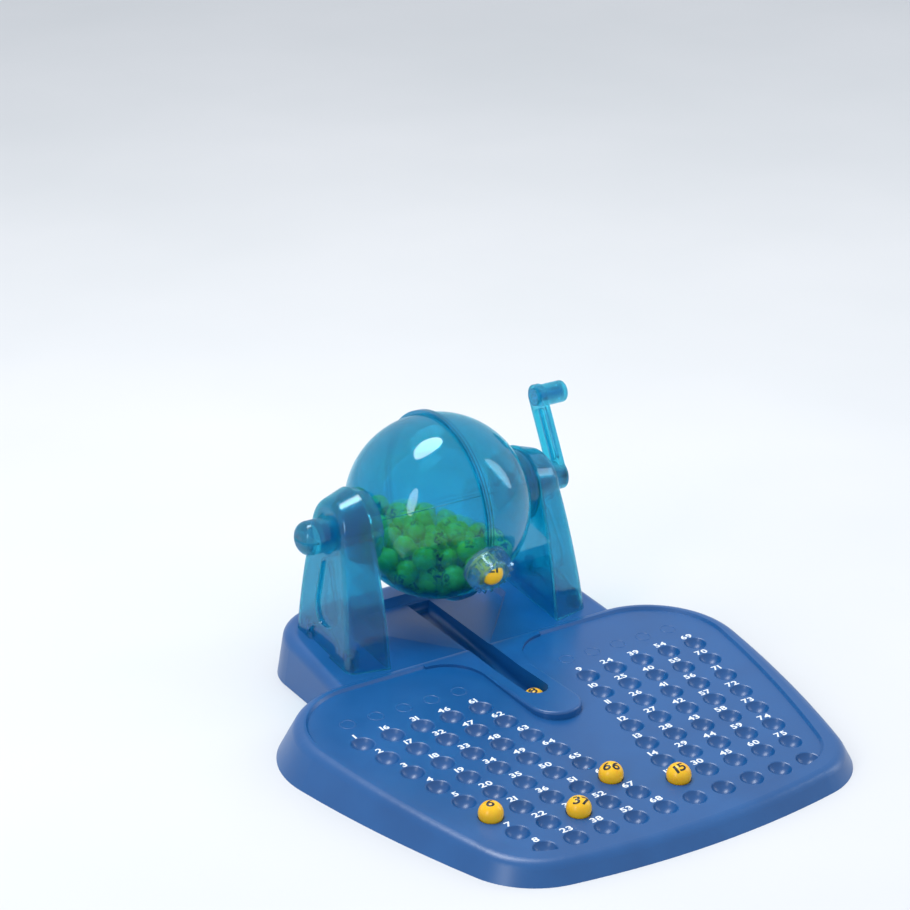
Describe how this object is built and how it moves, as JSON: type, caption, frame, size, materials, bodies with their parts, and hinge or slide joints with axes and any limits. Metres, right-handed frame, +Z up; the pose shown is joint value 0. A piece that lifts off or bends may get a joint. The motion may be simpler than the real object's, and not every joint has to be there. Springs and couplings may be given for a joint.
{
  "type": "bingo cage",
  "caption": "Tabletop bingo cage: clear ball globe with a crank between two towers, over a tilted tray with a chute and numbered dimples for the drawn balls.",
  "frame": {"origin": "on the resting plane, in the middle of the part's overall box, which is the tray's centre line", "axes": "+X towards the crank, +Y towards the globe at the back, +Z up"},
  "size_m": [0.3498, 0.3692, 0.1737],
  "materials": {
    "base_blue_plastic": "satin injection-moulded blue",
    "clear_blue_plastic": "glossy transparent cyan-blue styrene",
    "ball_plastic": "smooth yellow with printed numerals",
    "screw_steel": "zinc plated"
  },
  "bodies": {
    "base": {"base_moulding": "base_blue_plastic", "tower_left_shell": "clear_blue_plastic", "tower_right_shell": "clear_blue_plastic", "tower_left_plate": "clear_blue_plastic", "tower_right_plate": "clear_blue_plastic", "tower_screws": "screw_steel", "ball_pile": "ball_plastic"},
    "globe": {"globe_left_half": "clear_blue_plastic", "globe_right_half": "clear_blue_plastic", "outlet_collar": "clear_blue_plastic", "drive_axle": "clear_blue_plastic", "idle_axle": "clear_blue_plastic", "end_knob": "clear_blue_plastic", "crank_arm": "clear_blue_plastic", "crank_screw": "screw_steel", "ball_in_outlet": "ball_plastic"},
    "handle": {"handle_grip": "clear_blue_plastic", "handle_pin": "clear_blue_plastic"},
    "ball_6": {"ball_6": "ball_plastic"},
    "ball_37": {"ball_37": "ball_plastic"},
    "ball_66": {"ball_66": "ball_plastic"},
    "ball_15": {"ball_15": "ball_plastic"},
    "ball_in_chute": {"ball_in_chute": "ball_plastic"}
  },
  "joints": [
    {"name": "globe_spin", "type": "hinge", "parent": "base", "child": "globe", "pos_m": [0, 0.1198, 0.1089], "axis": [1, 0, 0], "continuous": true},
    {"name": "handle_spin", "type": "hinge", "parent": "globe", "child": "handle", "pos_m": [0.108, 0.14477, 0.1579], "axis": [1, 0, 0], "continuous": true},
    {"name": "ball_6_lift", "type": "slide", "parent": "base", "child": "ball_6", "axis": [0, -0.0523, 0.9986], "range_m": [0, 0.03]},
    {"name": "ball_37_lift", "type": "slide", "parent": "base", "child": "ball_37", "axis": [0, -0.0523, 0.9986], "range_m": [0, 0.03]},
    {"name": "ball_66_lift", "type": "slide", "parent": "base", "child": "ball_66", "axis": [0, -0.0523, 0.9986], "range_m": [0, 0.03]},
    {"name": "ball_15_lift", "type": "slide", "parent": "base", "child": "ball_15", "axis": [0, -0.0523, 0.9986], "range_m": [0, 0.03]},
    {"name": "chute_ball_roll", "type": "slide", "parent": "base", "child": "ball_in_chute", "axis": [0, 0.9941, 0.1083], "range_m": [0, 0.05]}
  ]
}
